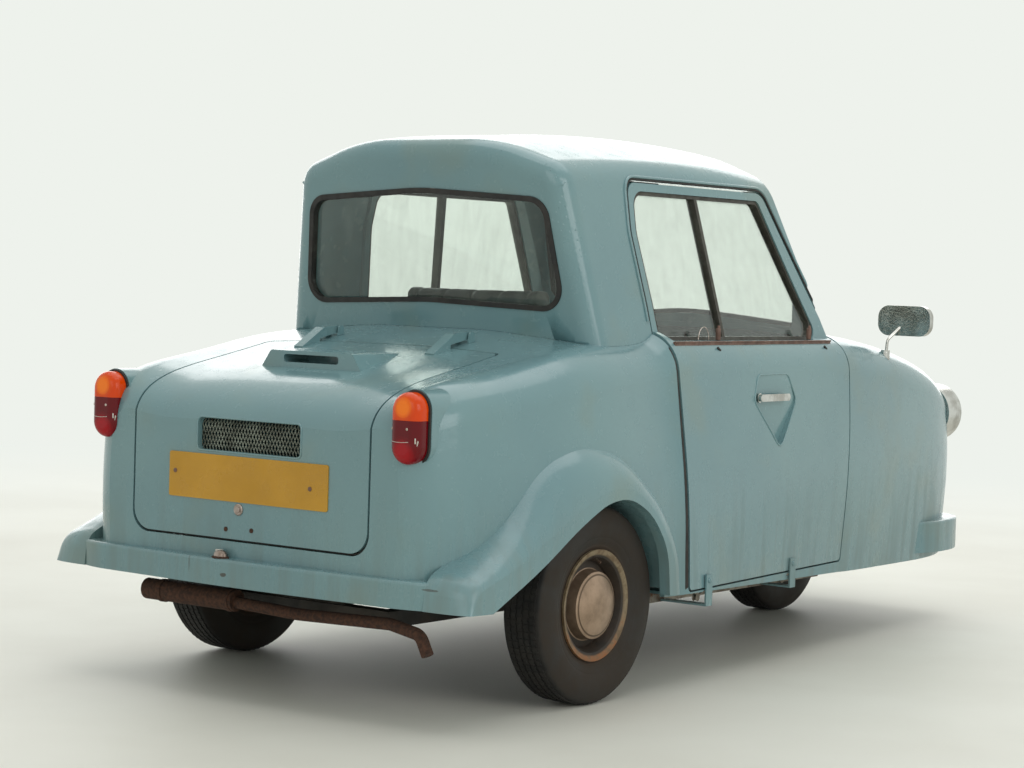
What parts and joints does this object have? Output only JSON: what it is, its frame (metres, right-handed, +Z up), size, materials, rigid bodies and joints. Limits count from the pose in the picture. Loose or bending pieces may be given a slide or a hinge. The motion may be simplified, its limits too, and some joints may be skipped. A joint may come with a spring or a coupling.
{
  "type": "three wheeled car",
  "caption": "Small three wheeled car with a moulded body, sliding doors, a single steered front wheel and a hinged rear engine lid.",
  "frame": {"origin": "on the ground under the middle of the car's bounding box", "axes": "+Z up, +Y towards the tail, +X towards the car's left side"},
  "size_m": [1.372, 2.963, 1.456],
  "materials": {
    "body_paint": "gloss",
    "steel": "satin",
    "mesh_steel": "matte",
    "plate_yellow": "gloss",
    "glass": "gloss",
    "rubber": "matte",
    "dark_paint": "satin",
    "cast_metal": "matte",
    "rusty_steel": "matte",
    "wheel_paint": "satin",
    "tyre": "matte",
    "amber": "gloss",
    "red": "gloss",
    "chrome": "polished",
    "seat_cloth": "satin"
  },
  "bodies": {
    "car": {"rear_body": "body_paint", "front_body": "body_paint", "roof": "body_paint", "door_left": "body_paint", "door_right": "body_paint", "lid_hinges": "steel", "rear_glass": "glass", "screen_glass": "glass", "door_glass_left": "glass", "door_glass_right": "glass", "rear_seal": "rubber", "screen_seal": "rubber", "window_frame_left": "rubber", "window_frame_right": "rubber", "floor_pan": "dark_paint", "chassis_frame": "dark_paint", "rear_arm_left": "dark_paint", "rear_arm_right": "dark_paint", "tiller_bracket": "dark_paint", "engine": "cast_metal", "exhaust": "rusty_steel", "lamp_gaskets": "rubber", "amber_lenses": "amber", "red_lenses": "red", "headlamp_rims": "chrome", "headlamp_glass": "glass", "seat_frame": "dark_paint", "seat_cushion": "seat_cloth", "seat_back": "seat_cloth", "dash": "dark_paint", "door_handles": "chrome", "door_rails": "steel", "door_straps": "body_paint", "mirrors": "chrome"},
    "lid": {"engine_lid": "body_paint", "grille_mesh": "mesh_steel", "number_plate": "plate_yellow"},
    "fork": {"front_fork": "dark_paint"},
    "front_wheel": {"wheel_front": "wheel_paint", "tyre_front": "tyre"},
    "rear_left_wheel": {"wheel_rear_left": "wheel_paint", "tyre_rear_left": "tyre"},
    "rear_right_wheel": {"wheel_rear_right": "wheel_paint", "tyre_rear_right": "tyre"},
    "tiller": {"tiller": "dark_paint"}
  },
  "joints": [
    {"name": "rear_left_wheel_spin", "type": "hinge", "parent": "car", "child": "rear_left_wheel", "pos_m": [0.5725, 0.837, 0.25], "axis": [1, 0, 0], "continuous": true},
    {"name": "rear_right_wheel_spin", "type": "hinge", "parent": "car", "child": "rear_right_wheel", "pos_m": [-0.5725, 0.837, 0.25], "axis": [1, 0, 0], "continuous": true},
    {"name": "steering", "type": "hinge", "parent": "car", "child": "fork", "pos_m": [0, -1.111, 0.55], "axis": [0, 0, 1], "range_deg": [-35, 35]},
    {"name": "front_wheel_spin", "type": "hinge", "parent": "fork", "child": "front_wheel", "pos_m": [0, -1.071, 0.25], "axis": [1, 0, 0], "continuous": true},
    {"name": "tiller_turn", "type": "hinge", "parent": "car", "child": "tiller", "pos_m": [0.04, -0.64, 0.253], "axis": [0, 0.5681, 0.823], "range_deg": [-35, 35]},
    {"name": "lid_open", "type": "hinge", "parent": "car", "child": "lid", "pos_m": [0, 0.884, 0.909], "axis": [1, 0, 0], "range_deg": [0, 60]}
  ],
  "couplings": [
    {"joint": "tiller_turn", "follows": "steering", "ratio": 1}
  ]
}
